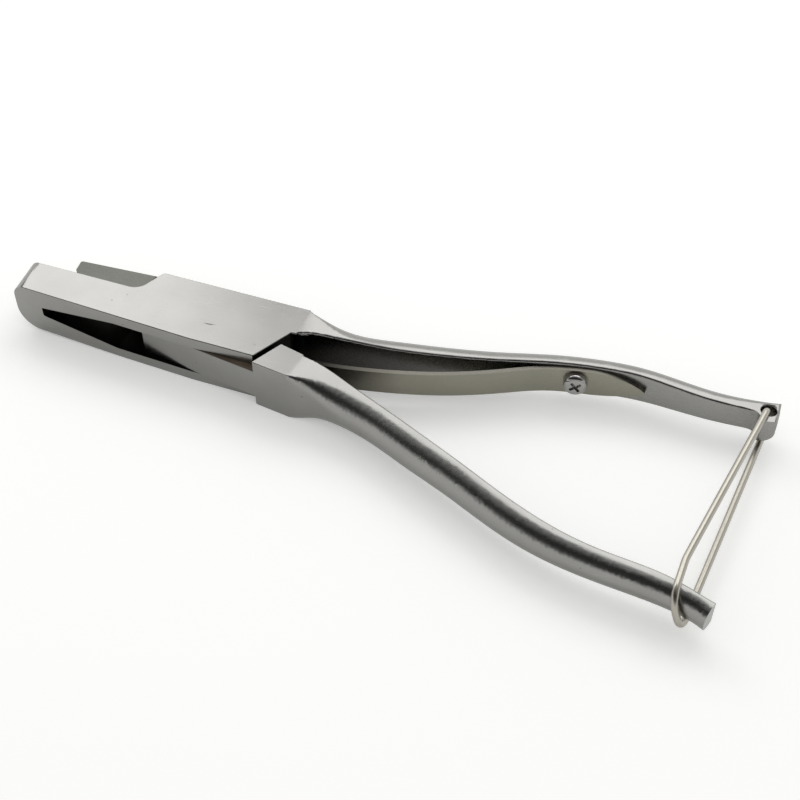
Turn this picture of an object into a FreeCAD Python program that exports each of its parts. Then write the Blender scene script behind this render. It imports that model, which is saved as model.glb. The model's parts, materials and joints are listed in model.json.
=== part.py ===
import FreeCAD, Part
import math
import os

# Ear notcher for livestock: forged box-joint pliers with a V die and a V punch.
# Frame: the pivot axis is Z through the origin, the head lies on z = 0, the nose
# points to -X, the handles to +X, and +Y is the side of the box lever's handle.
# All sizes are in millimetres. The punch lever is drawn closed, then opened.

# Head of the box lever
head_thickness = 19.0
head_width = 27.0
nose_reach = 71.2
nose_top_radius = 4.6
nose_belly_radius = 8.0
nose_lift = 1.5
nose_lift_start = 24.0
nose_skew = 6.0
nose_side_draft = 2.6
draft_start = 3.0
jaw_width = 13.4
jaw_foot_x = -30.0
jaw_step_angle = 22.0
jaw_foot_radius = 5.0
jaw_shoulder_radius = 1.5
plate_thickness = 3.9
plate_end_x = 20.3
plate_end_angle = 26.0
plate_corner_radius = 0.6
throat_x = 27.4
throat_radius = 1.3
edge_radius = 0.4

# V die through the near jaw
slot_tip_x = -60.7
slot_tip_height = 3.4
slot_tip_radius = 1.0
slot_mouth_x = -32.0
slot_mouth_radius = 2.0

# Punch lever
open_angle = 7.5
slide_clearance = 0.15
boss_clearance = 0.2
web_clearance = 0.4
punch_bite = 2.2
punch_draft = 6.5
punch_far_angle = 4.6
punch_tip_radius = 0.7
punch_tip_gap = 0.7
punch_overhang = 1.4
punch_end_angle = 8.6
punch_stop_gap = 0.3
block_end_x = -21.6
block_corner_radius = 0.4
block_foot_radius = 2.5
neck_offset = 1.6
shoulder_gap = 2.6
shoulder_angle = 18.5
shoulder_lead = 0.2
shoulder_corner_radius = 0.6

# Pivot
pin_diameter = 10.0
pin_fit = 0.06
pin_chamfer = 0.15

# Handles. A station holds: share of the way from root to end, distance of the flat
# inner face from the middle plane, width, height, radius of the rounded outer side.
tail_reach = 183.2
grip_corner = 0.8
grip_embed = 1.5
root_rounding = 0.6
box_root_x = 29.0
box_root_y = 1.0
box_stations = [
    (0.032, 3.4, 10.1, 18.2, 1.2),
    (0.067, 4.9, 8.3, 16.6, 4.5),
    (0.114, 6.4, 7.1, 14.4, 5.9),
    (0.2, 8.1, 7.4, 13.3, 5.9),
    (0.305, 11.2, 7.6, 13.0, 6.0),
    (0.424, 16.0, 7.3, 12.8, 5.9),
    (0.543, 21.7, 7.2, 12.4, 5.8),
    (0.629, 24.4, 7.2, 12.0, 5.6),
    (0.71, 25.6, 7.1, 11.4, 5.4),
    (0.782, 24.9, 7.0, 10.3, 4.9),
    (0.863, 24.0, 6.8, 9.3, 4.4),
    (0.953, 24.5, 6.4, 8.8, 3.0),
    (1.0, 24.85, 6.2, 8.8, 1.1),
]
punch_root_x = 36.0
punch_root_y = 2.4
punch_stations = [
    (0.03, 2.6, 10.8, 17.4, 2.2),
    (0.07, 2.9, 10.3, 15.7, 4.0),
    (0.115, 4.3, 9.7, 14.3, 5.4),
    (0.205, 7.6, 8.4, 13.2, 6.0),
    (0.315, 12.2, 8.1, 12.9, 5.9),
    (0.43, 17.2, 7.6, 12.6, 5.8),
    (0.54, 22.2, 7.5, 12.0, 5.5),
    (0.64, 25.7, 7.3, 11.2, 5.2),
    (0.75, 27.2, 6.7, 10.3, 4.8),
    (0.83, 26.7, 6.7, 9.8, 4.5),
    (0.91, 26.8, 6.3, 9.4, 4.3),
    (1.0, 29.2, 6.0, 9.0, 4.1),
]
punch_end_reach = 0.5
punch_end_slant = 8.0

# Eye at the end of the box lever's handle
eye_length = 7.4
eye_depth = 3.9
eye_hole = 4.8
eye_rim = 0.4
eye_edge = 3.5
eye_inset = 1.7
eye_lead = 2.0
eye_skin = 0.3
eye_bury = 3.0
eye_face_start = 2.4
eye_face_turn = 1.4
eye_round = 3.6
eye_top_round = 1.2
eye_fillet = 3.0
eye_corner = 0.5

# Leaf spring on the inner face of the box lever's handle. Its free part bows from
# where it lifts off down to its tip: shares of that run and of that drop.
leaf_width = 10.0
leaf_thickness = 1.6
leaf_tail_x = 141.0
leaf_tail_taper = 16.0
leaf_tail_tip = 2.4
leaf_lift_x = 106.0
leaf_lift = 0.5
leaf_bow = [(0.13, 0.78), (0.37, 0.42), (0.53, 0.25), (0.7, 0.114), (0.83, 0.04)]
leaf_tip_x = 30.5
leaf_tip_gap = 0.5
leaf_tip_width = 8.4
leaf_seat_gap = 0.05

# Screw of the leaf spring
screw_x = 118.4
screw_size = 4.0
screw_length = 8.0
screw_head = 8.0
screw_head_height = 2.6
screw_head_round = 1.5
screw_thread_play = 0.1
screw_hole_play = 0.4
recess_width = 1.0
recess_span = 4.4
recess_depth = 1.5
recess_turn = 38.0

# Wire bail that keeps the handles from springing open further
wire = 2.2
bail_place_x = 176.3
bail_skew = 4.2
bail_gap = 0.3
bail_slack = 0.85
bail_pull = 0.8
bail_lean = 0.35
bail_bend = 5.5
bail_knee_run = 15.0
bail_knee_shift = 1.4
bail_knee_bend = 16.0
bail_elbow = 2.4
bail_end_gap = 2.0

half = head_width / 2
mid = head_thickness / 2
slot_height = head_thickness - 2 * plate_thickness
beyond = tail_reach
Z = FreeCAD.Vector(0, 0, 1)


def vec(x, y, z=0.0):
    return FreeCAD.Vector(x, y, z)


def line(a, b):
    return Part.LineSegment(a, b).toShape()


def arc(a, m, b):
    return Part.Arc(a, m, b).toShape()


def tan(degrees):
    return math.tan(math.radians(degrees))


def rounded_path(points, radii):
    """Straight runs between points, with a tangent arc of each radius at each corner."""
    edges = []
    start = points[0]
    for before, corner, after, radius in zip(points, points[1:], points[2:], radii):
        back = (before - corner).normalize()
        ahead = (after - corner).normalize()
        half_angle = back.getAngle(ahead) / 2
        if radius > 0:
            reach = radius / math.tan(half_angle)
            entry = corner + back * reach
            leave = corner + ahead * reach
            inward = (back + ahead).normalize()
            centre = corner + inward * (radius / math.sin(half_angle))
            edges.append(line(start, entry))
            edges.append(arc(entry, centre - inward * radius, leave))
            start = leave
        else:
            edges.append(line(start, corner))
            start = corner
    edges.append(line(start, points[-1]))
    return edges


def outline(corners):
    """A closed face from corners, each a point and the radius that rounds it."""
    points = [corner[0] for corner in corners]
    radii = [corner[1] for corner in corners]
    first = (points[0] + points[-1]) * 0.5
    return Part.Face(Part.Wire(rounded_path([first] + points + [first], radii)))


def round_pivot(radius, start, stop):
    """Arc about the pivot axis from one angle to another, in degrees."""
    spots = []
    for degrees in (start, (start + stop) / 2, stop):
        turn = math.radians(degrees)
        spots.append(vec(radius * math.cos(turn), radius * math.sin(turn)))
    return arc(*spots)


def tower(face, low, high):
    """A plan face made a solid from z = low to z = high."""
    moved = face.copy()
    moved.translate(Z * low)
    return moved.extrude(Z * (high - low))


def across(face):
    """A side-view face in XZ made a solid that runs right through the part along Y."""
    moved = face.copy()
    moved.translate(vec(0, -beyond))
    return moved.extrude(vec(0, 2 * beyond))


def rim_edges(solid, height, root_x):
    """Edges around a flat face at one height, without the one where the handle starts."""
    chosen = []
    for edge in solid.Edges:
        box = edge.BoundBox
        flat = abs(box.ZMin - height) < 0.01 and abs(box.ZMax - height) < 0.01
        if flat and box.XMin < root_x - 0.01:
            chosen.append(edge)
    return chosen


def softened(solid, root_x):
    """A forged head with the edges round its top and its underside rounded."""
    rims = rim_edges(solid, 0, root_x) + rim_edges(solid, head_thickness, root_x)
    return solid.makeFillet(edge_radius, rims)


def at_x(curve, x):
    """Point and unit tangent of a left-to-right curve at one x."""
    low, high = curve.FirstParameter, curve.LastParameter
    for _ in range(50):
        middle = (low + high) / 2
        if curve.value(middle).x < x:
            low = middle
        else:
            high = middle
    return curve.value(low), curve.tangent(low)[0]


def grip_curve(stations, outward, root_x, root_y, end_x):
    """Line of a handle's flat inner face, from the head's root through the stations."""
    points = [vec(root_x, root_y * outward)]
    for share, offset, *_ in stations:
        points.append(vec(root_x + share * (end_x - root_x), offset * outward))
    curve = Part.BSplineCurve()
    curve.interpolate(points)
    return curve


def grip_section(point, tangent, outward, width, height, rounding):
    """D-shaped section: flat inner face, rounded outer side, small inner corners."""
    side = vec(-tangent.y, tangent.x) * outward
    top = height / 2
    small = grip_corner
    cut = 1 - math.sqrt(0.5)

    def place(out, up):
        return point + side * out + Z * (mid + up)

    def corner(sign):
        return arc(
            place(width - rounding, sign * top),
            place(width - rounding * cut, sign * (top - rounding * cut)),
            place(width, sign * (top - rounding)),
        )

    def inner_corner(sign):
        return arc(
            place(0, sign * (top - small)),
            place(small * cut, sign * (top - small * cut)),
            place(small, sign * top),
        )

    return Part.Wire([
        line(place(0, small - top), place(0, top - small)),
        inner_corner(1),
        line(place(small, top), place(width - rounding, top)),
        corner(1),
        line(place(width, top - rounding), place(width, rounding - top)),
        corner(-1),
        line(place(width - rounding, -top), place(small, -top)),
        inner_corner(-1),
    ])


def grip(stations, curve, outward, root_x, root_y, end_x, slant):
    """Handle lofted from inside the head's root through its stations to its slanted end."""
    root = vec(root_x - grip_embed, root_y * outward)
    sections = [grip_section(root, vec(1, 0), outward, half - root_y, head_thickness, root_rounding)]
    for share, _, width, height, rounding in stations:
        point, tangent = at_x(curve, root_x + share * (end_x - root_x))
        if share == 1:
            tangent = FreeCAD.Rotation(Z, slant).multVec(tangent)
        sections.append(grip_section(point, tangent, outward, width, height, rounding))
    return Part.makeLoft(sections, True, False)


eye_start_x = tail_reach - eye_length
punch_end_x = tail_reach + punch_end_reach
box_curve = grip_curve(box_stations, 1, box_root_x, box_root_y, tail_reach)
punch_curve = grip_curve(punch_stations, -1, punch_root_x, punch_root_y, punch_end_x)
box_end_height = box_stations[-1][3]


def near_side(x):
    """Y of the head's near side: flat beside the pivot, drafted towards the nose."""
    return -half + max(0.0, -draft_start - x) * tan(nose_side_draft)


jaw_far_y = near_side(-nose_reach) + jaw_width


def head_blank():
    """Head of the box lever before its slot: plan outline cut by its side view."""
    past_nose = -nose_reach - jaw_width * tan(nose_skew) - edge_radius
    step_top_x = jaw_foot_x + (half - jaw_far_y) * tan(jaw_step_angle)
    throat_y = (throat_x - plate_end_x) / tan(plate_end_angle) - half
    plan = outline([
        (vec(past_nose, near_side(past_nose)), 0),
        (vec(-draft_start, -half), 0),
        (vec(plate_end_x, -half), plate_corner_radius),
        (vec(throat_x, throat_y), throat_radius),
        (vec(box_root_x, box_root_y), 0),
        (vec(box_root_x, half), 0),
        (vec(step_top_x, half), jaw_shoulder_radius),
        (vec(jaw_foot_x, jaw_far_y), jaw_foot_radius),
        (vec(past_nose, jaw_far_y), 0),
    ])
    side = outline([
        (vec(-nose_reach, 0, nose_lift), nose_belly_radius),
        (vec(-nose_lift_start, 0, 0), 0),
        (vec(beyond, 0, 0), 0),
        (vec(beyond, 0, head_thickness), 0),
        (vec(-nose_reach, 0, head_thickness), nose_top_radius),
    ])
    gauge = across(side)
    gauge.rotate(vec(-nose_reach, near_side(-nose_reach)), Z, nose_skew)
    blank = softened(tower(plan, 0, head_thickness), box_root_x)
    return blank.common(gauge)


def slot_profile(tip_clearance, side_clearance):
    """Side view of the V die and the box slot, drawn in by two clearances."""
    low = plate_thickness + side_clearance
    high = head_thickness - low
    tip_z = mid + nose_lift / 2
    top = tip_z + slot_tip_height / 2 - side_clearance
    bottom = tip_z - slot_tip_height / 2 + side_clearance
    share = tip_clearance / (slot_mouth_x - slot_tip_x)
    tip_x = slot_tip_x + tip_clearance
    return outline([
        (vec(beyond, 0, low), 0),
        (vec(beyond, 0, high), 0),
        (vec(slot_mouth_x, 0, high), slot_mouth_radius),
        (vec(tip_x, 0, top + share * (high - top)), slot_tip_radius / 3),
        (vec(tip_x, 0, bottom + share * (low - bottom)), slot_tip_radius),
        (vec(slot_mouth_x, 0, low), slot_mouth_radius),
    ])


def web_plan():
    """Plan of the solid web that joins the two plates beside the handle root."""
    radius = half - boss_clearance + web_clearance
    floor_y = -neck_offset + web_clearance
    start = math.degrees(math.asin(floor_y / radius))
    curve = round_pivot(radius, start, 90)
    floor = vec(radius * math.cos(math.radians(start)), floor_y)
    return Part.Face(Part.Wire([
        curve,
        line(vec(0, radius), vec(0, beyond)),
        line(vec(0, beyond), vec(beyond, beyond)),
        line(vec(beyond, beyond), vec(beyond, floor_y)),
        line(vec(beyond, floor_y), floor),
    ]))


def pin_hole(diameter):
    return Part.makeCylinder(diameter / 2, 3 * head_thickness, vec(0, 0, -head_thickness), Z)


def eye_point():
    """Centre of the eye in the box lever's handle end."""
    point, _ = at_x(box_curve, eye_start_x)
    return vec(tail_reach - eye_edge, point.y + eye_inset)


def eye_lug():
    """End of the box lever's handle, turned inwards to carry the bail."""
    point, _ = at_x(box_curve, eye_start_x)
    low_y = point.y - eye_depth
    inner_y = point.y + eye_skin
    bury_y = point.y + eye_bury
    plan = outline([
        (vec(eye_start_x - eye_lead, inner_y), 0),
        (vec(eye_start_x + eye_face_start / 2, inner_y), eye_fillet),
        (vec(eye_start_x + eye_face_start, low_y), eye_corner),
        (vec(tail_reach, low_y + eye_face_turn), eye_corner),
        (vec(tail_reach, bury_y), 0),
        (vec(eye_start_x - eye_lead, bury_y), 0),
    ])
    return tower(plan, mid - box_end_height / 2, mid + box_end_height / 2)


def end_rounding(radius, height, sign):
    """What rounds the box lever's end in side view, at its top or at its underside."""
    level = mid + sign * height / 2
    inward = tail_reach - radius
    centre = vec(inward, 0, level - sign * radius)
    diagonal = vec(1, 0, sign).normalize() * radius
    edges = [
        arc(vec(inward, 0, level), centre + diagonal, vec(tail_reach, 0, level - sign * radius)),
        line(vec(tail_reach, 0, level - sign * radius), vec(beyond * 2, 0, level - sign * radius)),
        line(vec(beyond * 2, 0, level - sign * radius), vec(beyond * 2, 0, level + sign * radius)),
        line(vec(beyond * 2, 0, level + sign * radius), vec(inward, 0, level + sign * radius)),
        line(vec(inward, 0, level + sign * radius), vec(inward, 0, level)),
    ]
    return across(Part.Face(Part.Wire(edges)))


def eye_bore():
    """Bore of the eye with a small countersink at each mouth."""
    centre = eye_point()
    radius = eye_hole / 2
    bore = Part.makeCylinder(radius, 3 * head_thickness, centre - Z * head_thickness, Z)
    mouths = []
    for sign in (1, -1):
        start = centre + Z * (mid + sign * (box_end_height / 2 - eye_rim))
        mouths.append(Part.makeCone(radius, radius + 2 * eye_rim, 2 * eye_rim, start, Z * sign))
    return bore.fuse(mouths)


def screw_seat():
    """Seat of the screw on the handle's inner face, and its direction out of it."""
    point, tangent = at_x(box_curve, screw_x)
    return vec(point.x, point.y, mid), vec(tangent.y, -tangent.x)


def screw_bore(play):
    seat, out = screw_seat()
    deep = screw_length - leaf_thickness + screw_thread_play
    return Part.makeCylinder((screw_size + play) / 2, deep + 2 * leaf_thickness, seat - out * deep, out)


def box_lever():
    slot = across(slot_profile(0, 0)).cut(tower(web_plan(), 0, head_thickness))
    head = head_blank().cut(slot)
    handle = grip(box_stations, box_curve, 1, box_root_x, box_root_y, tail_reach, 0)
    shape = head.fuse([handle, eye_lug()])
    shape = shape.cut([
        end_rounding(eye_top_round, box_end_height, 1),
        end_rounding(eye_round, box_end_height, -1),
        pin_hole(pin_diameter),
        eye_bore(),
        screw_bore(screw_thread_play),
    ])
    return shape.removeSplitter()


def opened(shape):
    """Turn a shape of the closed punch lever to the photographed, open pose."""
    turned = shape.copy()
    turned.rotate(vec(0, 0), Z, -open_angle)
    return turned


def punch_block():
    """The part of the punch lever inside the slot, with the V punch in front."""
    boss = half - boss_clearance
    far_angle = 90 + punch_far_angle
    far_turn = math.radians(far_angle)
    leave = vec(boss * math.cos(far_turn), boss * math.sin(far_turn))
    tip_x = slot_tip_x + punch_tip_gap
    near_tip = vec(tip_x, jaw_far_y - punch_bite)
    step = vec(tip_x, jaw_far_y + punch_stop_gap)
    brow = vec(tip_x - punch_overhang, step.y)
    end_x = brow.x - (leave.y - brow.y) * tan(punch_end_angle)
    far_tip = vec(end_x, leave.y - (leave.x - end_x) * tan(punch_far_angle))
    foot = vec(block_end_x, near_tip.y - (block_end_x - tip_x) * tan(punch_draft))
    neck_angle = math.degrees(math.asin(-neck_offset / boss))
    neck = vec(boss * math.cos(math.radians(neck_angle)), -neck_offset)
    back_x = punch_root_x - grip_embed
    corners = [
        leave,
        far_tip,
        brow,
        step,
        near_tip,
        foot,
        vec(block_end_x, near_side(block_end_x)),
        vec(-draft_start, -half),
        vec(back_x, -half),
        vec(back_x, -neck_offset),
        neck,
    ]
    corner = block_corner_radius
    radii = [punch_tip_radius, corner / 2, corner / 2, corner, block_foot_radius, corner, 0, 0, 0]
    edges = rounded_path(corners, radii) + [round_pivot(boss, neck_angle, far_angle)]
    solid = tower(Part.Face(Part.Wire(edges)), 0, head_thickness)
    return solid.common(across(slot_profile(-2 * punch_overhang, slide_clearance)))


def shoulder_apex():
    """Inner corner of the shoulder, in the closed position."""
    apex_y = shoulder_lead - neck_offset
    near_x = plate_end_x + shoulder_gap
    return vec(near_x + (apex_y + half) * tan(shoulder_angle), apex_y)


def punch_shoulder():
    """Full-thickness shoulder of the punch lever, just behind the plates' ends."""
    plan = outline([
        (vec(plate_end_x + shoulder_gap, -half), shoulder_corner_radius),
        (vec(punch_root_x, -half), 0),
        (vec(punch_root_x, -punch_root_y), 0),
        (shoulder_apex(), shoulder_corner_radius),
    ])
    return softened(tower(plan, 0, head_thickness), punch_root_x)


def punch_lever():
    handle = grip(punch_stations, punch_curve, -1, punch_root_x, punch_root_y, punch_end_x, punch_end_slant)
    shape = punch_block().fuse([punch_shoulder(), handle])
    shape = shape.cut(pin_hole(pin_diameter + 2 * pin_fit))
    return opened(shape.removeSplitter())


def round_edges(solid):
    return [edge for edge in solid.Edges if isinstance(edge.Curve, Part.Circle)]


def pivot_pin():
    pin = Part.makeCylinder(pin_diameter / 2, head_thickness, vec(0, 0), Z)
    return pin.makeChamfer(pin_chamfer, round_edges(pin))


def leaf_points():
    """Near face of the leaf: along the handle's inner face, then off to the punch lever."""
    tip_side = opened(line(shoulder_apex(), vec(punch_root_x, -punch_root_y)))
    start, stop = (vertex.Point for vertex in tip_side.Vertexes)
    tip = start + (stop - start) * ((leaf_tip_x - start.x) / (stop.x - start.x))
    end = tip + vec(0, leaf_tip_gap)
    points = []
    seated = 6
    for i in range(seated + 1):
        x = leaf_tail_x + (leaf_lift_x + leaf_tail_taper / 2 - leaf_tail_x) * i / seated
        place, tangent = at_x(box_curve, x)
        points.append(place + vec(tangent.y, -tangent.x) * (leaf_seat_gap + leaf_thickness))
    place, tangent = at_x(box_curve, leaf_lift_x)
    lift = place + vec(tangent.y, -tangent.x) * (leaf_thickness + leaf_lift)
    points.append(lift)
    for along, drop in leaf_bow:
        points.append(vec(lift.x + (end.x - lift.x) * along, end.y + (lift.y - end.y) * drop))
    points.append(end)
    return points


def leaf_spring():
    near = Part.BSplineCurve()
    near.interpolate(leaf_points())
    steps = 40
    backs = []
    for i in range(steps + 1):
        u = near.FirstParameter + (near.LastParameter - near.FirstParameter) * i / steps
        tangent = near.tangent(u)[0]
        backs.append(near.value(u) + vec(tangent.y, -tangent.x) * leaf_thickness)
    back = Part.BSplineCurve()
    back.interpolate(backs)
    strip = Part.Face(Part.Wire([
        near.toShape(),
        line(near.value(near.LastParameter), backs[-1]),
        back.toShape(),
        line(backs[0], near.value(near.FirstParameter)),
    ]))
    wide = leaf_width / 2
    tip_x = leaf_tip_x - leaf_thickness
    tail_x = leaf_tail_x + leaf_thickness
    face = outline([
        (vec(tail_x, 0, mid - leaf_tail_tip / 2), leaf_tail_tip / 2),
        (vec(tail_x, 0, mid + leaf_tail_tip / 2), leaf_tail_tip / 2),
        (vec(leaf_tail_x - leaf_tail_taper, 0, mid + wide), leaf_tail_taper / 2),
        (vec(tip_x, 0, mid + leaf_tip_width / 2), 0),
        (vec(tip_x, 0, mid - leaf_tip_width / 2), 0),
        (vec(leaf_tail_x - leaf_tail_taper, 0, mid - wide), leaf_tail_taper / 2),
    ])
    shape = tower(strip, mid - wide, mid + wide).common(across(face))
    return shape.cut(screw_bore(screw_hole_play))


def spring_screw():
    """Pan-head screw with a cross recess; its axis is Z while it is made."""
    head = Part.makeCylinder(screw_head / 2, screw_head_height)
    rim = [edge for edge in round_edges(head) if edge.Curve.Center.z > screw_head_height / 2]
    head = head.makeFillet(screw_head_round, rim)
    shank = Part.makeCylinder(screw_size / 2, screw_length, vec(0, 0, -screw_length))
    blade = Part.makeBox(recess_span, recess_width, recess_depth)
    blade.translate(vec(-recess_span / 2, -recess_width / 2, screw_head_height - recess_depth))
    blade.rotate(vec(0, 0), Z, recess_turn)
    other = blade.copy()
    other.rotate(vec(0, 0), Z, 90)
    screw = head.fuse(shank).cut([blade, other]).removeSplitter()
    seat, out = screw_seat()
    base = seat + out * (leaf_thickness + 3 * leaf_seat_gap)
    screw.Placement = FreeCAD.Placement(base, FreeCAD.Rotation(out.cross(Z), Z, out, "ZXY"))
    return screw


def lock_bail():
    """Wire bail: both ends drop into the eye, the bend passes round the punch lever's handle.

    The handles pull it to the near side of the eye, so it stands off the eye's centre.
    """
    eye = eye_point()
    closed, tangent = at_x(punch_curve, bail_place_x)
    out = vec(tangent.y, -tangent.x)
    _, _, width, height, _ = punch_stations[-1]
    fattest = punch_stations[-3][3]
    spot = closed + out * (width + bail_slack + wire / 2)
    bend = opened(Part.Vertex(spot)).Point
    along = (bend - eye).normalize()
    sideways = vec(-along.y, along.x)
    stand = eye + along * bail_pull - sideways * bail_lean
    foot = eye + along * bail_pull + sideways * bail_lean
    high = bend - sideways * bail_skew / 2
    low = bend + sideways * bail_skew / 2
    knee = high - along * bail_knee_run - sideways * bail_knee_shift
    eye_lift = box_end_height / 2 + bail_gap + wire / 2
    bend_lift = fattest / 2 + bail_gap + wire / 2
    stub = bail_end_gap / 2
    points = [
        stand + Z * (mid + stub),
        stand + Z * (mid + eye_lift),
        knee + Z * (mid + bend_lift),
        high + Z * (mid + bend_lift),
        low + Z * (mid - bend_lift),
        foot + Z * (mid - eye_lift),
        foot + Z * (mid - stub),
    ]
    radii = [bail_elbow, bail_knee_bend, bail_bend, bail_bend, bail_elbow]
    path = Part.Wire(rounded_path(points, radii))
    ring = Part.Wire(Part.makeCircle(wire / 2, points[0], Z))
    return path.makePipeShell([ring], True, True)


parts = {
    "box_lever": box_lever,
    "punch_lever": punch_lever,
    "pivot_pin": pivot_pin,
    "leaf_spring": leaf_spring,
    "spring_screw": spring_screw,
    "lock_bail": lock_bail,
}

os.makedirs("parts", exist_ok=True)
for name, make in parts.items():
    shape = make()
    shape.exportStep("parts/" + name + ".step")
    box = shape.optimalBoundingBox()
    print(name, "valid", shape.isValid(), "solids", len(shape.Solids), "volume %.1f" % shape.Volume)
    spans = (box.XMin, box.XMax, box.YMin, box.YMax, box.ZMin, box.ZMax)
    print("  x %.2f %.2f y %.2f %.2f z %.2f %.2f" % spans)
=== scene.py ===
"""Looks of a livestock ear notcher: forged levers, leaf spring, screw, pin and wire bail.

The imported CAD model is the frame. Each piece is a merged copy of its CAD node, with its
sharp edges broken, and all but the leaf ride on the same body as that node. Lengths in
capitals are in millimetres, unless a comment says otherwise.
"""

import json
import math

import bmesh
import bpy
from mathutils import Matrix, Vector

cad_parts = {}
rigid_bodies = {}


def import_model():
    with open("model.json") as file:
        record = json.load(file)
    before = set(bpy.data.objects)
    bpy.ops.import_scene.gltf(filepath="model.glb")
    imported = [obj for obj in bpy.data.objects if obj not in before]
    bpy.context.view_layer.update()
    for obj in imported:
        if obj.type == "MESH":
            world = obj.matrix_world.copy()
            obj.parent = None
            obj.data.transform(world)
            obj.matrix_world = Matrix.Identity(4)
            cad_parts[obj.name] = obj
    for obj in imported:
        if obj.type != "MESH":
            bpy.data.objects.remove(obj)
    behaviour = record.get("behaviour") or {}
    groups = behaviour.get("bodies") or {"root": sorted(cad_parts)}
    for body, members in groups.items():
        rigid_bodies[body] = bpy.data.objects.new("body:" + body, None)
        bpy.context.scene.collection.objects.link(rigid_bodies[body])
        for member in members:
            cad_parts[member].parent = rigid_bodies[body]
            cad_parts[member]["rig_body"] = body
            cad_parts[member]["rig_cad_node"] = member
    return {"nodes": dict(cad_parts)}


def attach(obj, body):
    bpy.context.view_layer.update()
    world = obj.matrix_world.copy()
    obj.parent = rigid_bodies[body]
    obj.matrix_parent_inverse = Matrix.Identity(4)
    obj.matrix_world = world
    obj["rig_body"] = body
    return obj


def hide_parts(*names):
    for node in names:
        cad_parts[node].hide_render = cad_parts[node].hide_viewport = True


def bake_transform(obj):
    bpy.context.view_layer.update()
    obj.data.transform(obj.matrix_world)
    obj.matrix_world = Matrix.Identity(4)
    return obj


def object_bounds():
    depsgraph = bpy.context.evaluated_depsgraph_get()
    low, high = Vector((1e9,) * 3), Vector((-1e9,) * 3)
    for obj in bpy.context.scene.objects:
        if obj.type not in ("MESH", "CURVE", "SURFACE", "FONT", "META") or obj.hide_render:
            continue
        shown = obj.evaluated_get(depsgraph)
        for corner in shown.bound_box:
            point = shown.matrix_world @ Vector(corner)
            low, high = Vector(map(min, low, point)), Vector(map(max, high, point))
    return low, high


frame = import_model()
cad_low, cad_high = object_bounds()

bl_info = {
    "name": "Ear notcher",
    "version": (1, 0, 0),
    "blender": (4, 5, 0),
    "location": "3D View > Sidebar > Notcher",
    "description": "Builds the finish of a forged livestock ear notcher on its packed frame",
    "category": "Object",
}

MM = 0.001
WHITE = (1, 1, 1, 1)

# The head, the slot through it and the throat behind it, where the CAD has them.
HEAD_HEIGHT = 19.0
SLOT_LOW, SLOT_HIGH = 3.6, 15.4
SLOT_TIP, SLOT_MOUTH, SLOT_END = -61.5, -30.0, 20.0
THROAT_END = 29.5
WEB_RADIUS = 13.9
INNER_START, INNER_LOW = 27.0, -2.0
BLOCK_LOW, BLOCK_HIGH, BLOCK_END = 3.9, 15.1, 25.0
LEDGE_START = -20.0

# How much of a face's normal lies along an axis for the face to look a little, mostly,
# nearly or fully that way.
A_LITTLE, MOSTLY, NEARLY, FULLY = 0.3, 0.5, 0.9, 0.99

# The handles' roots: where the head's end face stands, from where to where it reaches across,
# and the rounding of its corners. The punch lever is turned by OPEN_TURN.
BOX_ROOT, BOX_ROOT_LOW, BOX_ROOT_HIGH = 29.0, 1.0, 13.5
PUNCH_ROOT, PUNCH_ROOT_LOW, PUNCH_ROOT_HIGH = 36.0, -13.5, -2.4
OPEN_TURN = math.radians(-7.5)
ROOT_ROUND = 0.4
ROOT_MARGIN = 2.0
ROOT_CUTS = (0.8, 1.8, 3.0, 4.5, 6.5, 9.0, 12.0)
WELD_REACH = 0.05
TOUCHING = 0.0001

# The upright share of a corner's normal from which a root is eased, and the further share
# over which the easing grows to its full strength.
EASE_FROM, EASE_SPAN = 0.5, 0.4

# The pin, whose core is left as it is, its broken rim, and the crescent at its upper rim, whose
# turn and half are in degrees. The edge break keeps off the pin by the margin.
PIN_RADIUS, PIN_CORE, PIN_MARGIN = 5.0, 1.0, 0.1
RIM_REACH, RIM_DROP = 0.05, 0.02
DENT_TURN, DENT_HALF = -83.0, 24.0
DENT_WIDTH, DENT_DEPTH = 0.4, 0.6

# The leaf's tail, drawn as a pointed arch from a small share of its length on. Fullness and
# arch are the powers of its outline.
LEAF_MID, LEAF_CORE = 9.5, 0.3
TAIL_START, TAIL_END, TAIL_HALF, TAIL_POINT = 122.5, 141.0, 5.0, 0.4
TAIL_FROM, TAIL_FULLNESS, TAIL_ARCH = 0.01, 1.8, 0.7
TAIL_STEPS = 16

# The stretch of the bail's straight legs, and the length of its rings of faces.
LEG_START, LEG_END, LEG_STEP = -40, 21, 3

# Painted shade along the length: where it starts to clear, and where the colour is clear.
INNER_SHADE = (32.0, 120.0)
LEAF_SHADE = (40.0, 66.0)

# How near corners merge, up to which angle faces count as one, from which angle an edge counts
# as sharp, and how much the large faces weigh in the shading.
MERGE_REACH = 0.0005
FLAT_ANGLE = math.radians(0.08)
SHARP_ANGLE = math.radians(50)
EVEN_WEIGHT = 80

# Most of a noise lies between these. A pit's painted shade is full over the floor's share of its
# radius.
NOISE_LOW, NOISE_HIGH = 0.3, 0.7
PIT_SPACING, PIT_FLOOR, PIT_SHADE = 5.0, 0.6, 0.12

# Sockets of the Mix node: two colours and the colour out, then two numbers.
COLOUR_A, COLOUR_B, COLOUR_OUT = 6, 7, 2
NUMBER_A, NUMBER_B = 2, 3

# The floor's side and the camera's nearest distance, in metres, and the camera's sensor.
FLOOR_SIZE = 6
NEAREST = 0.01
FLOOR_GAP = 0.05
SENSOR_WIDTH = 36

# The backdrop gives way to the ceiling, and the ceiling's front to its back, as the view's
# direction goes up or back between these shares.
BACKDROP_TOP, CEILING_BOTTOM = 0.1, 0.6
CEILING_FRONT, CEILING_BACK = -0.3, 0.9


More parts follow.
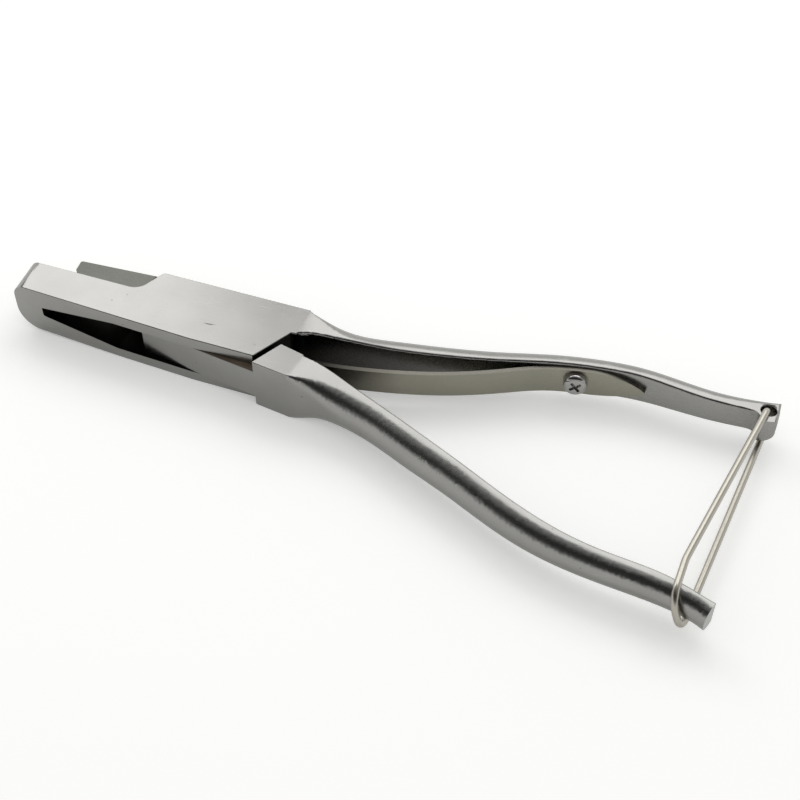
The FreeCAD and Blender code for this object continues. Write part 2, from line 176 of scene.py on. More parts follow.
class NotcherFinish(bpy.types.PropertyGroup):
    """Sizes and colours of the metal's finish, and the colour of its painted shade."""

    edge_break: bpy.props.FloatProperty(
        name="Edge break", description="Width of the broken sharp edges of the forgings",
        default=0.1 * MM, unit="LENGTH")
    thin_edge_break: bpy.props.FloatProperty(
        name="Thin edge break", description="Width of the broken edges of the leaf and screw",
        default=0.08 * MM, unit="LENGTH")
    satin_colour: bpy.props.StringProperty(
        name="Satin steel", description="Colour of the polished forgings, sRGB hex",
        default="A3A29F")
    # The block is darker than the forgings: partly its milled finish, partly painted shade and dark
    # reflection on its sloped top.
    milled_and_shade_colour: bpy.props.StringProperty(
        name="Milled steel", description="Colour of the milled punch block, sRGB hex",
        default="64645F")
    # Painted shade: the near black of the deep, shaded slot and throat, to which the inner side and the
    # leaf darken towards the throat.
    painted_shade_colour: bpy.props.StringProperty(
        name="Slot", description="Colour of the oiled walls of the slot, sRGB hex",
        default="24221F")
    scale_colour: bpy.props.StringProperty(
        name="Forge scale", description="Colour of the unpolished floor beside the plates, sRGB hex",
        default="6E6152")
    spring_colour: bpy.props.StringProperty(
        name="Spring steel", description="Colour of the tempered leaf, sRGB hex",
        default="9E9C8F")
    screw_colour: bpy.props.StringProperty(
        name="Screw", description="Colour of the plated screw, sRGB hex",
        default="ACABA9")
    sheared_colour: bpy.props.StringProperty(
        name="Sheared edge", description="Colour of the leaf's sheared edges, sRGB hex",
        default="7F7D74")
    wire_colour: bpy.props.StringProperty(
        name="Wire", description="Colour of the bright wire, sRGB hex",
        default="BDB9AE")


class NotcherStage(bpy.types.PropertyGroup):
    """Camera, floor, room and softboxes."""

    camera_spot: bpy.props.FloatVectorProperty(
        name="Camera", description="Where the camera stands", size=3,
        default=(0.1705, -0.2813, 0.3057), subtype="XYZ", unit="LENGTH")
    azimuth: bpy.props.FloatProperty(
        name="Azimuth", description="Turn of the view about the upright axis",
        default=math.radians(20.4), subtype="ANGLE")
    elevation: bpy.props.FloatProperty(
        name="Elevation", description="How far the view looks down",
        default=math.radians(45.3), subtype="ANGLE")
    roll: bpy.props.FloatProperty(
        name="Roll", description="Tilt of the picture",
        default=math.radians(-0.28), subtype="ANGLE")
    lens: bpy.props.FloatProperty(
        name="Lens", description="Focal length in millimetres on a 36 mm sensor",
        default=58.5)
    floor_colour: bpy.props.StringProperty(
        name="Floor", description="Colour of the floor, sRGB hex",
        default="F4F4F2")
    floor_glow: bpy.props.FloatProperty(
        name="Floor glow", description="What lifts the seen floor to white",
        default=0.28)
    mirrored_glow: bpy.props.FloatProperty(
        name="Mirrored glow", description="The same lift where the metal mirrors the floor",
        default=0.12)
    room_light: bpy.props.FloatProperty(
        name="Room light", description="Level of the plain light from all round",
        default=0.6)
    horizon: bpy.props.FloatProperty(
        name="Horizon", description="Level of the backdrop that the metal mirrors",
        default=0.9)
    ceiling_front: bpy.props.FloatProperty(
        name="Ceiling, front", description="Level mirrored above the camera",
        default=0.04)
    ceiling_back: bpy.props.FloatProperty(
        name="Ceiling, back", description="Level mirrored above the back of the object",
        default=0.75)
    left_spot: bpy.props.FloatVectorProperty(
        name="Left softbox", description="Where the left softbox hangs", size=3,
        default=(-0.665, 0.56, 0.70), subtype="XYZ", unit="LENGTH")
    left_size: bpy.props.FloatVectorProperty(
        name="Left softbox size", description="Width and height", size=2,
        default=(0.65, 0.5), unit="LENGTH")
    right_spot: bpy.props.FloatVectorProperty(
        name="Right softbox", description="Where the right softbox hangs", size=3,
        default=(0.105, 0.60, 0.72), subtype="XYZ", unit="LENGTH")
    right_size: bpy.props.FloatVectorProperty(
        name="Right softbox size", description="Width and height", size=2,
        default=(0.73, 0.5), unit="LENGTH")
    left_level: bpy.props.FloatProperty(
        name="Left softbox level", description="Brightness of its face, where 1 is white",
        default=1.78)
    right_level: bpy.props.FloatProperty(
        name="Right softbox level", description="Brightness of its face, where 1 is white",
        default=1.48)


def linear(code):
    """Linear RGBA of an sRGB hex colour."""
    channels = []
    for start in (0, 2, 4):
        value = int(code[start:start + 2], 16) / 255
        channels.append(value / 12.92 if value <= 0.04045 else ((value + 0.055) / 1.055) ** 2.4)
    return (*channels, 1.0)


def shaded(colour, share):
    """A linear RGBA colour, darker for a share under 1 and lighter over it."""
    return (*(channel * share for channel in colour[:3]), 1.0)


def add(tree, kind, links=None, values=None, **settings):
    """Adds a node: links are {input: output socket}, values are {input: constant}."""
    node = tree.nodes.new(kind)
    for key, value in settings.items():
        setattr(node, key, value)
    for key, value in (values or {}).items():
        node.inputs[key].default_value = value
    for key, socket in (links or {}).items():
        tree.links.new(socket, node.inputs[key])
    return node


def new_tree(name):
    """A material and its empty node tree."""
    material = bpy.data.materials.new(name)
    material.use_nodes = True
    tree = material.node_tree
    tree.nodes.clear()
    return material, tree


def end_tree(tree, shader):
    """Makes a shader the surface of its material."""
    add(tree, "ShaderNodeOutputMaterial", {"Surface": shader.outputs[0]})


def metal(name, colour, roughness, swing, grain, depth, stretch=1.0, wave=9.0, sway=0.01,
          patch=0.05, pit=0.0, painted_shade=None, metallic=1.0):
    """Worked metal. Sizes in millimetres: grain width and depth, wave length and sway, pit radius.

    The grain is drawn out along the length by stretch, as a polishing belt leaves it. It moves
    the roughness up and down by swing, and the colour by patch. A painted shade holds the
    shade's colour, where the shade ends along the length, and where the full colour starts.
    """
    material, tree = new_tree(name)
    base = linear(colour)
    place = add(tree, "ShaderNodeTexCoord").outputs["Object"]
    drawn = add(tree, "ShaderNodeMapping", {"Vector": place}, {"Scale": (1 / stretch, 1, 1)})
    lines = add(tree, "ShaderNodeTexNoise", {"Vector": drawn.outputs[0]},
                {"Scale": 1 / (grain * MM), "Detail": 3.0, "Roughness": 0.6})
    waves = add(tree, "ShaderNodeTexNoise", {"Vector": place},
                {"Scale": 1 / (wave * MM), "Detail": 2.0})
    shine = add(tree, "ShaderNodeMapRange", {"Value": lines.outputs["Fac"]},
                {"From Min": NOISE_LOW, "From Max": NOISE_HIGH,
                 "To Min": roughness - swing, "To Max": roughness + swing})
    cloud = add(tree, "ShaderNodeMath", {0: waves.outputs["Fac"], 1: lines.outputs["Fac"]},
                operation="MULTIPLY")
    tint = add(tree, "ShaderNodeMix", {"Factor": cloud.outputs[0]},
               {COLOUR_A: shaded(base, 1 - 2 * patch), COLOUR_B: shaded(base, 1 + 2 * patch)},
               data_type="RGBA")
    paint = tint.outputs[COLOUR_OUT]
    slow = add(tree, "ShaderNodeBump", {"Height": waves.outputs["Fac"]},
               {"Strength": 1.0, "Distance": sway * MM})
    fine = add(tree, "ShaderNodeBump", {"Height": lines.outputs["Fac"], "Normal": slow.outputs[0]},
               {"Strength": 1.0, "Distance": depth * MM})
    # Pits are painted dark, as the shade that falls in them.
    if pit:
        cells = add(tree, "ShaderNodeTexVoronoi", {"Vector": place},
                    {"Scale": 1 / (PIT_SPACING * MM)})
        edge = pit / PIT_SPACING
        hole = add(tree, "ShaderNodeMapRange", {"Value": cells.outputs["Distance"]},
                   {"From Min": PIT_FLOOR * edge, "From Max": edge, "To Min": 1.0, "To Max": 0.0})
        dark = add(tree, "ShaderNodeMix", {"Factor": hole.outputs[0], COLOUR_A: paint},
                   {COLOUR_B: shaded(base, PIT_SHADE)}, data_type="RGBA")
        paint = dark.outputs[COLOUR_OUT]
    # Painted shade: the colour darkens along the length to the shade's colour.
    if painted_shade:
        shade, shade_end, clear_start = painted_shade
        along = add(tree, "ShaderNodeSeparateXYZ", {0: place})
        ramp = add(tree, "ShaderNodeMapRange", {"Value": along.outputs["X"]},
                   {"From Min": shade_end * MM, "From Max": clear_start * MM})
        faded = add(tree, "ShaderNodeMix", {"Factor": ramp.outputs[0], COLOUR_B: paint},
                    {COLOUR_A: linear(shade)}, data_type="RGBA")
        paint = faded.outputs[COLOUR_OUT]
    shader = add(tree, "ShaderNodeBsdfPrincipled",
                 {"Base Color": paint, "Roughness": shine.outputs[0], "Normal": fine.outputs[0]},
                 {"Metallic": metallic})
    end_tree(tree, shader)
    return material


def satin_steel(name, finish):
    """Carbon steel, forged and then finished on a fine belt.

    It gives the eye a soft mirror of the room, hair lines along the length and a few pits that
    the belt left, painted dark as the shade in them. Lines of a 240 grit belt are 0.05 mm wide
    and too fine to show at this distance, so they are drawn 0.28 mm wide.
    """
    return metal(name, finish.satin_colour, roughness=0.25, swing=0.025, grain=0.28, depth=0.0004,
                 stretch=40.0, wave=14.0, sway=0.01, patch=0.08, pit=0.24)


def coat_faces(piece, material, test):
    """Gives a material to the faces for which test says so, by centre in millimetres and normal."""
    piece.data.materials.append(material)
    index = len(piece.data.materials) - 1
    found = 0
    for face in piece.data.polygons:
        if test(face.center / MM, face.normal):
            face.material_index = index
            found += 1
    if not found:
        raise RuntimeError(f"{piece.name}: no face for {material.name}")


def pick(obj):
    """Selects one object alone and makes it active."""
    bpy.ops.object.select_all(action="DESELECT")
    obj.select_set(True)
    bpy.context.view_layer.objects.active = obj


def edit(piece, *steps):
    """Runs edit-mode operators on a piece."""
    pick(piece)
    bpy.ops.object.mode_set(mode="EDIT")
    for step in steps:
        step()
    bpy.ops.object.mode_set(mode="OBJECT")


def select_all():
    """Selects the whole mesh that is being edited."""
    bpy.ops.mesh.select_all(action="SELECT")


def cut_across(piece, place, normal):
    """Cuts all faces of a piece along a plane through a place in millimetres."""
    edit(piece, select_all,
         lambda: bpy.ops.mesh.bisect(plane_co=Vector(place) * MM, plane_no=normal))


def copy_node(node, name):
    """A CAD node's mesh as an object of its own, its loose triangles merged."""
    source = frame["nodes"][node]
    piece = source.copy()
    piece.data = source.data.copy()
    piece.name = piece.data.name = name
    piece.parent = None
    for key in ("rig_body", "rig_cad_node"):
        del piece[key]
    bpy.context.scene.collection.objects.link(piece)
    edit(piece, select_all,
         bpy.ops.mesh.customdata_custom_splitnormals_clear,
         lambda: bpy.ops.mesh.remove_doubles(threshold=MERGE_REACH * MM))
    return piece


def close_root(piece, turn, root, low, high):
    """Draws the first ring of a forged handle out to the head's end face, so that they flow together.

    The end face stands across the lever at root, from low to high, and the lever is turned by
    turn in plan.
    """
    straight = Matrix.Rotation(-turn, 3, "Z")
    rim = draw_rim_out(piece, straight, root, low, high)
    if not rim:
        raise RuntimeError(f"{piece.name}: no root at {root}")
    edit(piece,
         lambda: bpy.ops.mesh.select_mode(type="VERT"),
         lambda: bpy.ops.mesh.select_all(action="DESELECT"))
    for face in piece.data.polygons:
        face.select = rim.issuperset(face.vertices)
    edit(piece, lambda: bpy.ops.mesh.delete(type="ONLY_FACE"))
    for vertex in piece.data.vertices:
        vertex.select = vertex.index in rim
    edit(piece, lambda: bpy.ops.mesh.remove_doubles(threshold=WELD_REACH * MM))
    weld_rims(piece)
    ease_root(piece, straight, root)


def draw_rim_out(piece, straight, root, low, high):
    """Moves the corners in the end face's plane out to its outline and gives their indices."""
    inner_low = Vector((low + ROOT_ROUND, ROOT_ROUND))
    inner_high = Vector((high - ROOT_ROUND, HEAD_HEIGHT - ROOT_ROUND))
    turned = straight.inverted()
    rim = set()
    for vertex in piece.data.vertices:
        spot = straight @ vertex.co / MM
        in_plane = abs(spot.x - root) <= WELD_REACH
        if in_plane and inner_low.x - ROOT_MARGIN < spot.y < inner_high.x + ROOT_MARGIN:
            across, height = nearest_on_outline(spot.yz, inner_low, inner_high)
            vertex.co = turned @ Vector((root, across, height)) * MM
            rim.add(vertex.index)
    return rim


def nearest_on_outline(spot, inner_low, inner_high):
    """Nearest place on a rounded rectangle, whose roundings are centred on the inner corners."""
    inner = Vector((min(max(spot.x, inner_low.x), inner_high.x),
                    min(max(spot.y, inner_low.y), inner_high.y)))
    out = spot - inner
    if out.length > TOUCHING:
        return inner + out.normalized() * ROOT_ROUND
    room = (inner.x - inner_low.x, inner_high.x - inner.x,
            inner.y - inner_low.y, inner_high.y - inner.y)
    side = room.index(min(room))
    if side < 2:
        inner.x = (inner_low.x - ROOT_ROUND, inner_high.x + ROOT_ROUND)[side]
    else:
        inner.y = (inner_low.y - ROOT_ROUND, inner_high.y + ROOT_ROUND)[side - 2]
    return inner


def weld_rims(piece):
    """Joins two open rims that lie on each other, by a corner in each for every corner in the other.

    What stays open, where one rim is round and the other cuts the corner, is filled.
    """
    shape = bmesh.new()
    shape.from_mesh(piece.data)
    rim = [edge for edge in shape.edges if edge.is_boundary]
    corners = [corner for corner in shape.verts if corner.is_boundary]
    for edge in rim:
        start, end = edge.verts
        run = end.co - start.co
        shares = []
        for corner in corners:
            if corner in (start, end):
                continue
            share = (corner.co - start.co).dot(run) / run.length_squared
            if 0 < share < 1 and (start.co + run * share - corner.co).length < WELD_REACH * MM:
                shares.append(share)
        done = 0.0
        for share in sorted(shares):
            _, start = bmesh.utils.edge_split(edge, start, (share - done) / (1 - done))
            done = share
    seam = [corner for corner in shape.verts if corner.is_boundary]
    bmesh.ops.remove_doubles(shape, verts=seam, dist=WELD_REACH * MM)
    gaps = [edge for edge in shape.edges if edge.is_boundary]
    bmesh.ops.holes_fill(shape, edges=gaps, sides=0)
    bmesh.ops.recalc_face_normals(shape, faces=shape.faces)
    shape.to_mesh(piece.data)
    shape.free()


def ease_root(piece, straight, root):
    """Lets the handle's top and underside leave the head level and only then slope away."""
    turned = straight.inverted()
    for cut in ROOT_CUTS:
        cut_across(piece, turned @ Vector((root + cut, 0, 0)), turned @ Vector((1, 0, 0)))
    ups = [vertex.normal.z for vertex in piece.data.vertices]
    for vertex, up in zip(piece.data.vertices, ups):
        along = ((straight @ vertex.co).x / MM - root) / ROOT_CUTS[-1]
        share = min(max((abs(up) - EASE_FROM) / EASE_SPAN, 0.0), 1.0)
        if 0 < along < 1 and share:
            goal = HEAD_HEIGHT * MM if up > 0 else 0.0
            vertex.co.z += (goal - vertex.co.z) * (1 - along) ** 2 * share


def break_rim(pin):
    """Ends the pin in a fine broken rim, with the faint crescent that shows at the upper one."""
    for vertex in pin.data.vertices:
        spot = vertex.co / MM
        if math.hypot(spot.x, spot.y) < PIN_CORE:
            continue
        turn = math.atan2(spot.y, spot.x)
        off = (math.degrees(turn) - DENT_TURN) / DENT_HALF
        at_top = spot.z > HEAD_HEIGHT / 2
        dent = math.cos(off * math.pi / 2) if at_top and abs(off) < 1 else 0.0
        radius = PIN_RADIUS
        level = HEAD_HEIGHT if at_top else 0.0
        if not RIM_REACH < spot.z < HEAD_HEIGHT - RIM_REACH:
            radius -= DENT_WIDTH * dent
        elif at_top:
            level -= RIM_DROP + DENT_DEPTH * dent
        else:
            level += RIM_DROP
        vertex.co = Vector((radius * math.cos(turn), radius * math.sin(turn), level)) * MM


def point_tail(leaf):
    """Draws the leaf's tail in to a pointed arch."""
    length = TAIL_END - TAIL_START
    for step in range(1, TAIL_STEPS):
        cut_across(leaf, (TAIL_START + length * step / TAIL_STEPS, 0, 0), (1, 0, 0))
    for vertex in leaf.data.vertices:
        along = (vertex.co.x / MM - TAIL_START) / length
        off = vertex.co.z / MM - LEAF_MID
        if along > TAIL_FROM and abs(off) > LEAF_CORE:
            half = TAIL_HALF * max(0.0, 1 - min(along, 1.0) ** TAIL_FULLNESS) ** TAIL_ARCH
            vertex.co.z = (LEAF_MID + math.copysign(max(half, TAIL_POINT), off)) * MM


def sharp_edges(piece):
    """Marks for the edge break every sharp edge, apart from the rim around the flush pivot pin."""
    mesh = piece.data
    normals = {}
    for face in mesh.polygons:
        for key in face.edge_keys:
            normals.setdefault(key, []).append(face.normal)
    weights = mesh.attributes.new("bevel_weight_edge", "FLOAT", "EDGE")
    for edge in mesh.edges:
        sides = normals.get(tuple(sorted(edge.vertices)), ())
        ends = [mesh.vertices[index].co / MM for index in edge.vertices]
        on_rim = all(math.hypot(end.x, end.y) < PIN_RADIUS + PIN_MARGIN for end in ends)
        if len(sides) == 2 and not on_rim and sides[0].angle(sides[1], 0) > SHARP_ANGLE:
            weights.data[edge.index].value = 1.0


def finish_piece(piece, node, body, edge, material, drawn=False):
    """Breaks the sharp edges, shades it, gives it its material, hands it to its body if it has one, and
    hides its CAD node.

    A drawn piece, round all over, keeps its rings of faces and their plain smooth shading.
    """
    if not drawn:
        edit(piece, select_all,
             lambda: bpy.ops.mesh.dissolve_limited(angle_limit=FLAT_ANGLE))
    if edge:
        sharp_edges(piece)
        bevel = piece.modifiers.new("edge_break", "BEVEL")
        bevel.width = edge
        bevel.segments = 2
        bevel.limit_method = "WEIGHT"
        pick(piece)
        bpy.ops.object.modifier_apply(modifier=bevel.name)
    pick(piece)
    bpy.ops.object.shade_smooth_by_angle(angle=SHARP_ANGLE)
    if not drawn:
        even = piece.modifiers.new("even_shading", "WEIGHTED_NORMAL")
        even.keep_sharp = True
        even.weight = EVEN_WEIGHT
        bpy.ops.object.modifier_apply(modifier=even.name)
    piece.data.materials.clear()
    piece.data.materials.append(material)
    if body:
        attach(piece, body)
    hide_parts(node)


def in_slot(spot, normal):
    """Walls of the slot through the box lever's head, and of the throat behind it, painted near black
    as shade.
    """
    upright = abs(normal.z) < MOSTLY
    if SLOT_END < spot.x < THROAT_END and upright and normal.x > A_LITTLE:
        return True
    if not (SLOT_LOW < spot.z < SLOT_HIGH and SLOT_TIP < spot.x < SLOT_END):
        return False
    if abs(normal.y) < MOSTLY and (abs(normal.z) > MOSTLY or spot.x < SLOT_MOUTH):
        return True
    return upright and math.hypot(spot.x, spot.y) < WEB_RADIUS


def on_inner_side(spot, normal):
    """Flat inner side of the box lever's handle, which is painted darker towards the throat as shade.
    """
    faces_inwards = normal.y < -MOSTLY and abs(normal.z) < A_LITTLE
    return faces_inwards and spot.x > INNER_START and spot.y > INNER_LOW


def on_block(spot, normal):
    """Top and underside of the punch block, which only a cutter has been over, and which are painted
    darker, partly as shade.
    """
    return abs(normal.z) > NEARLY and BLOCK_LOW < spot.z < BLOCK_HIGH and spot.x < BLOCK_END


def on_ledge(spot, normal):
    """The part of the block's top that shows beside the upper plate."""
    return on_block(spot, normal) and normal.z > FULLY and spot.x > LEDGE_START


def on_leaf_edge(spot, normal):
    """Long edges of the leaf, where the shear cut it."""
    return abs(normal.z) > NEARLY


class NOTCHER_OT_box_lever(bpy.types.Operator):
    """Box lever: the forged half with the slot, the V die and the eye"""

    bl_idname = "notcher.box_lever"
    bl_label = "Box lever"

    def execute(self, context):
        finish = context.scene.notcher_finish
        steel = satin_steel("belt_polished_forged_steel", finish)
        lever = copy_node("box_lever", "box_lever_forging")
        close_root(lever, 0.0, BOX_ROOT, BOX_ROOT_LOW, BOX_ROOT_HIGH)
        finish_piece(lever, "box_lever", "box_half", finish.edge_break, steel)
        # Forged steel that the belt reached less: a weak, broad sheen, and painted shade that darkens
        # it towards the throat.
        # Its lines are drawn 0.28 mm wide, as on the outside.
        inner = metal("dull_inner_steel_painted_shade", finish.satin_colour, roughness=0.28, swing=0.02,
                      grain=0.28, depth=0.0008, stretch=40.0, wave=14.0, sway=0.015,
                      painted_shade=(finish.painted_shade_colour, *INNER_SHADE))
        coat_faces(lever, inner, on_inner_side)
        # Milled steel of the deep slot and throat walls, painted near black as the shade in them,
        # with a spread sheen. Cutter marks are 0.4 mm apart.
        shade_painted = metal("slot_steel_painted_shade", finish.painted_shade_colour, roughness=0.45, swing=0.06,
                      grain=0.4, depth=0.004)
        coat_faces(lever, shade_painted, in_slot)
        return {"FINISHED"}


class NOTCHER_OT_punch_lever(bpy.types.Operator):
    """Punch lever: the forged half that slides in the box and carries the V punch"""

    bl_idname = "notcher.punch_lever"
    bl_label = "Punch lever"

    def execute(self, context):
        finish = context.scene.notcher_finish
        steel = satin_steel("belt_polished_punch_steel", finish)
        lever = copy_node("punch_lever", "punch_lever_forging")
        close_root(lever, OPEN_TURN, PUNCH_ROOT, PUNCH_ROOT_LOW, PUNCH_ROOT_HIGH)
        finish_piece(lever, "punch_lever", "punch_half", finish.edge_break, steel)
        # Milled and unpolished steel: a darker grey, partly its own and partly painted shade and dark
        # reflection on the block's sloped top, with the cutter's lines 0.35 mm apart along the length.
        milled = metal("milled_punch_steel_and_painted_shade", finish.milled_and_shade_colour, roughness=0.3, swing=0.05,
                       grain=0.35, depth=0.003, stretch=12.0)
        coat_faces(lever, milled, on_block)
        # Oxide from the forge that no tool has been over: brown, dry and without a mirror. Its
        # crust is 0.05 mm deep, with grains of 0.5 mm.
        scale = metal("forge_scale", finish.scale_colour, roughness=0.75, swing=0.1,
                      grain=0.5, depth=0.05, patch=0.3, metallic=0.0)
        coat_faces(lever, scale, on_ledge)
        return {"FINISHED"}


class NOTCHER_OT_pivot_pin(bpy.types.Operator):
    """Pivot pin, ground flush with the plates"""

    bl_idname = "notcher.pivot_pin"
    bl_label = "Pivot pin"

    def execute(self, context):
        finish = context.scene.notcher_finish
        # Carbon steel, riveted and ground flush with the plates: the same hair lines run on over it.
        steel = satin_steel("ground_pin_steel", finish)
        pin = copy_node("pivot_pin", "pivot_pin_ground")
        break_rim(pin)
        finish_piece(pin, "pivot_pin", "box_half", 0, steel)
        return {"FINISHED"}


class NOTCHER_OT_leaf_spring(bpy.types.Operator):
    """Leaf spring between the two levers"""

    bl_idname = "notcher.leaf_spring"
    bl_label = "Leaf spring"

    def execute(self, context):
        finish = context.scene.notcher_finish
        # Painted shade: the leaf and its edges darken towards the throat, where the strip runs between
        # the handles.
        painted_shade = (finish.painted_shade_colour, *LEAF_SHADE)
        # Spring steel strip, cold rolled and tempered: warm grey, an even soft sheen. Rolling
        # lines are about 0.02 mm wide and are drawn 0.35 mm wide so that they show.
        steel = metal("rolled_spring_steel", finish.spring_colour, roughness=0.3, swing=0.03,
                      grain=0.35, depth=0.0012, stretch=30.0, wave=10.0, sway=0.015, patch=0.06,
                      painted_shade=painted_shade)
        leaf = copy_node("leaf_spring", "leaf_spring_strip")
        point_tail(leaf)
        finish_piece(leaf, "leaf_spring", None, finish.thin_edge_break, steel)
        # The same strip where the shear cut it: broken across, so duller and darker than its face, and
        # with the same painted shade towards the throat.
        sheared = metal("sheared_spring_edge", finish.sheared_colour, roughness=0.42, swing=0.05,
                        grain=0.3, depth=0.002, stretch=4.0, painted_shade=painted_shade)
        coat_faces(leaf, sheared, on_leaf_edge)
        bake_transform(leaf)
        return {"FINISHED"}


class NOTCHER_OT_spring_screw(bpy.types.Operator):
    """Pan-head screw that holds the leaf spring"""

    bl_idname = "notcher.spring_screw"
    bl_label = "Spring screw"

    def execute(self, context):
        finish = context.scene.notcher_finish
        # Steel, cold headed and nickel plated: a clear mirror with sharp lights on the pan and
        # in the cross.
        steel = metal("bright_plated_screw_steel", finish.screw_colour, roughness=0.1, swing=0.02,
                      grain=0.3, depth=0.0004, wave=3.0)
        screw = copy_node("spring_screw", "spring_screw_pan")
        finish_piece(screw, "spring_screw", "box_half", finish.thin_edge_break, steel)
        return {"FINISHED"}


class NOTCHER_OT_lock_bail(bpy.types.Operator):
    """Wire bail that holds the handles together, its straight legs cut short for even shading"""

    bl_idname = "notcher.lock_bail"
    bl_label = "Lock bail"

    def execute(self, context):
        finish = context.scene.notcher_finish
        # Steel wire, drawn through a die and nickel plated: long unbroken lights, slightly warm.
        steel = metal("drawn_nickel_wire", finish.wire_colour, roughness=0.3, swing=0.01,
                      grain=0.6, depth=0.0001, wave=6.0, sway=0.001, patch=0.03)
        bail = copy_node("lock_bail", "lock_bail_wire")
        for cut in range(LEG_START, LEG_END, LEG_STEP):
            cut_across(bail, (0, cut, 0), (0, 1, 0))
        finish_piece(bail, "lock_bail", "bail", 0, steel, drawn=True)
        return {"FINISHED"}


def seen_plainly(tree, ray):
    """A socket that is 1 for the camera's own rays, also through something clear, and else 0."""
    clear = add(tree, "ShaderNodeMath",
                {0: ray.outputs["Is Camera Ray"], 1: ray.outputs["Is Transmission Ray"]},
                operation="MAXIMUM")
    return clear.outputs[0]


def lay_floor(stage, centre):
    """Lays a board just under the object."""
    bpy.ops.object.select_all(action="DESELECT")
    bpy.ops.mesh.primitive_plane_add(
        size=FLOOR_SIZE, location=(centre.x, centre.y, cad_low.z - FLOOR_GAP * MM))
    floor = bpy.context.object
    floor.name = "floor"
    # Card, coated matt white: an even ground that keeps the soft shadow and lifts to white.
    material, tree = new_tree("pale_matt_board")
    paper = add(tree, "ShaderNodeBsdfDiffuse", values={"Color": linear(stage.floor_colour)})
    ray = add(tree, "ShaderNodeLightPath")
    mirrored = add(tree, "ShaderNodeMath", {0: ray.outputs["Is Glossy Ray"]},
                   {1: stage.mirrored_glow}, operation="MULTIPLY")
    level = add(tree, "ShaderNodeMath", {0: seen_plainly(tree, ray), 2: mirrored.outputs[0]},
                {1: stage.floor_glow}, operation="MULTIPLY_ADD")
    glow = add(tree, "ShaderNodeEmission", {"Strength": level.outputs[0]}, {"Color": WHITE})
    both = add(tree, "ShaderNodeAddShader", {0: paper.outputs[0], 1: glow.outputs[0]})
    end_tree(tree, both)
    floor.data.materials.append(material)


def light_room(stage):
    """Sets a plain light all round, and what the metal mirrors: a pale backdrop and a ceiling.

    The ceiling is dark above the camera and pale at the back.
    """
    world = bpy.data.worlds.new("soft_room")
    bpy.context.scene.world = world
    world.use_nodes = True
    world.cycles.sampling_method = "NONE"
    tree = world.node_tree
    tree.nodes.clear()
    ray = add(tree, "ShaderNodeLightPath")
    where = add(tree, "ShaderNodeTexCoord")
    sides = add(tree, "ShaderNodeSeparateXYZ", {0: where.outputs["Generated"]})
    ceiling = add(tree, "ShaderNodeMapRange", {"Value": sides.outputs["Y"]},
                  {"From Min": CEILING_FRONT, "From Max": CEILING_BACK,
                   "To Min": stage.ceiling_front, "To Max": stage.ceiling_back})
    lift = add(tree, "ShaderNodeMapRange", {"Value": sides.outputs["Z"]},
               {"From Min": BACKDROP_TOP, "From Max": CEILING_BOTTOM, "To Min": 0.0, "To Max": 1.0},
               interpolation_type="SMOOTHSTEP")
    room = add(tree, "ShaderNodeMix", {"Factor": lift.outputs[0], NUMBER_B: ceiling.outputs[0]},
               {NUMBER_A: stage.horizon}, data_type="FLOAT")
    unseen = add(tree, "ShaderNodeMix",
                 {"Factor": ray.outputs["Is Glossy Ray"], NUMBER_B: room.outputs[0]},
                 {NUMBER_A: stage.room_light}, data_type="FLOAT")
    level = add(tree, "ShaderNodeMix",
                {"Factor": seen_plainly(tree, ray), NUMBER_A: unseen.outputs[0]},
                {NUMBER_B: 1.0}, data_type="FLOAT")
    light = add(tree, "ShaderNodeBackground", {"Strength": level.outputs[0]}, {"Color": WHITE})
    add(tree, "ShaderNodeOutputWorld", {"Surface": light.outputs[0]})


def hang_softbox(name, spot, size, level, centre):
    """Hangs a softbox that looks at the object. At a level of 1 its face is as bright as white."""
    bpy.ops.object.light_add(type="AREA", location=spot)
    lamp = bpy.context.object
    lamp.name = name
    lamp.data.shape = "RECTANGLE"
    lamp.data.size, lamp.data.size_y = size
    lamp.data.energy = level * math.pi * size[0] * size[1]
    lamp.rotation_euler = (centre - Vector(spot)).to_track_quat("-Z", "Y").to_euler()


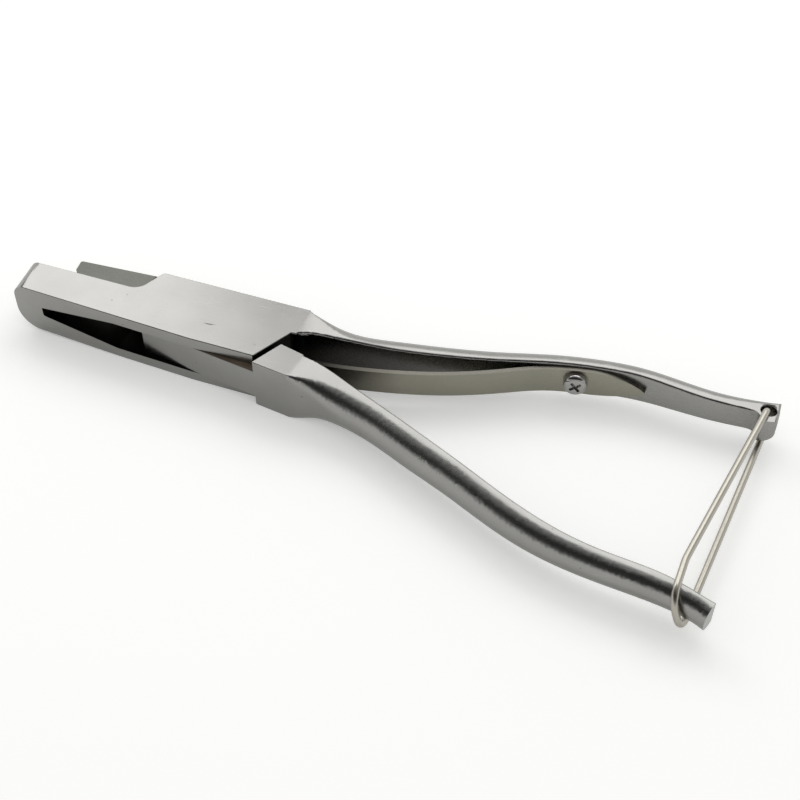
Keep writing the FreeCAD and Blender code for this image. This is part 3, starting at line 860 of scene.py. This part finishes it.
def aim_camera(stage):
    """Stands the camera where the photograph was taken from."""
    bpy.ops.object.camera_add(location=stage.camera_spot)
    camera = bpy.context.object
    camera.name = "photo_camera"
    camera.data.lens = stage.lens
    camera.data.sensor_width = SENSOR_WIDTH
    camera.data.clip_start = NEAREST
    turn, tilt, roll = stage.azimuth, stage.elevation, stage.roll
    right = Vector((math.cos(turn), math.sin(turn), 0))
    ahead = Vector((-math.sin(turn) * math.cos(tilt), math.cos(turn) * math.cos(tilt), -math.sin(tilt)))
    down = ahead.cross(right)
    across = right * math.cos(roll) + down * math.sin(roll)
    up = right * math.sin(roll) - down * math.cos(roll)
    camera.rotation_euler = Matrix((across, up, -ahead)).transposed().to_euler()
    bpy.context.scene.camera = camera


class NOTCHER_OT_stage(bpy.types.Operator):
    """Floor, soft light and the camera at the photograph's angle"""

    bl_idname = "notcher.stage"
    bl_label = "Stage"

    def execute(self, context):
        stage = context.scene.notcher_stage
        context.scene.view_settings.view_transform = "Standard"
        centre = (cad_low + cad_high) / 2
        lay_floor(stage, centre)
        light_room(stage)
        hang_softbox("rear_left_softbox", stage.left_spot, stage.left_size, stage.left_level, centre)
        hang_softbox("rear_right_softbox", stage.right_spot, stage.right_size, stage.right_level,
                     centre)
        aim_camera(stage)
        return {"FINISHED"}


class NOTCHER_PT_panel(bpy.types.Panel):
    """Lists the pieces of the notcher"""

    bl_label = "Ear notcher"
    bl_idname = "NOTCHER_PT_panel"
    bl_space_type = "VIEW_3D"
    bl_region_type = "UI"
    bl_category = "Notcher"

    def draw(self, context):
        for step in STEPS:
            self.layout.operator(step.bl_idname)
        for group in (context.scene.notcher_finish, context.scene.notcher_stage):
            for name in group.__annotations__:
                self.layout.prop(group, name)


STEPS = (
    NOTCHER_OT_stage,
    NOTCHER_OT_box_lever,
    NOTCHER_OT_punch_lever,
    NOTCHER_OT_pivot_pin,
    NOTCHER_OT_leaf_spring,
    NOTCHER_OT_spring_screw,
    NOTCHER_OT_lock_bail,
)
GROUPS = (NotcherFinish, NotcherStage)


def register():
    for item in (*GROUPS, *STEPS, NOTCHER_PT_panel):
        bpy.utils.register_class(item)
    bpy.types.Scene.notcher_finish = bpy.props.PointerProperty(type=NotcherFinish)
    bpy.types.Scene.notcher_stage = bpy.props.PointerProperty(type=NotcherStage)


def unregister():
    del bpy.types.Scene.notcher_stage
    del bpy.types.Scene.notcher_finish
    for item in reversed((*GROUPS, *STEPS, NOTCHER_PT_panel)):
        bpy.utils.unregister_class(item)


def main():
    register()
    for step in STEPS:
        group, name = step.bl_idname.split(".")
        getattr(getattr(bpy.ops, group), name)()


if __name__ == "__main__":
    main()
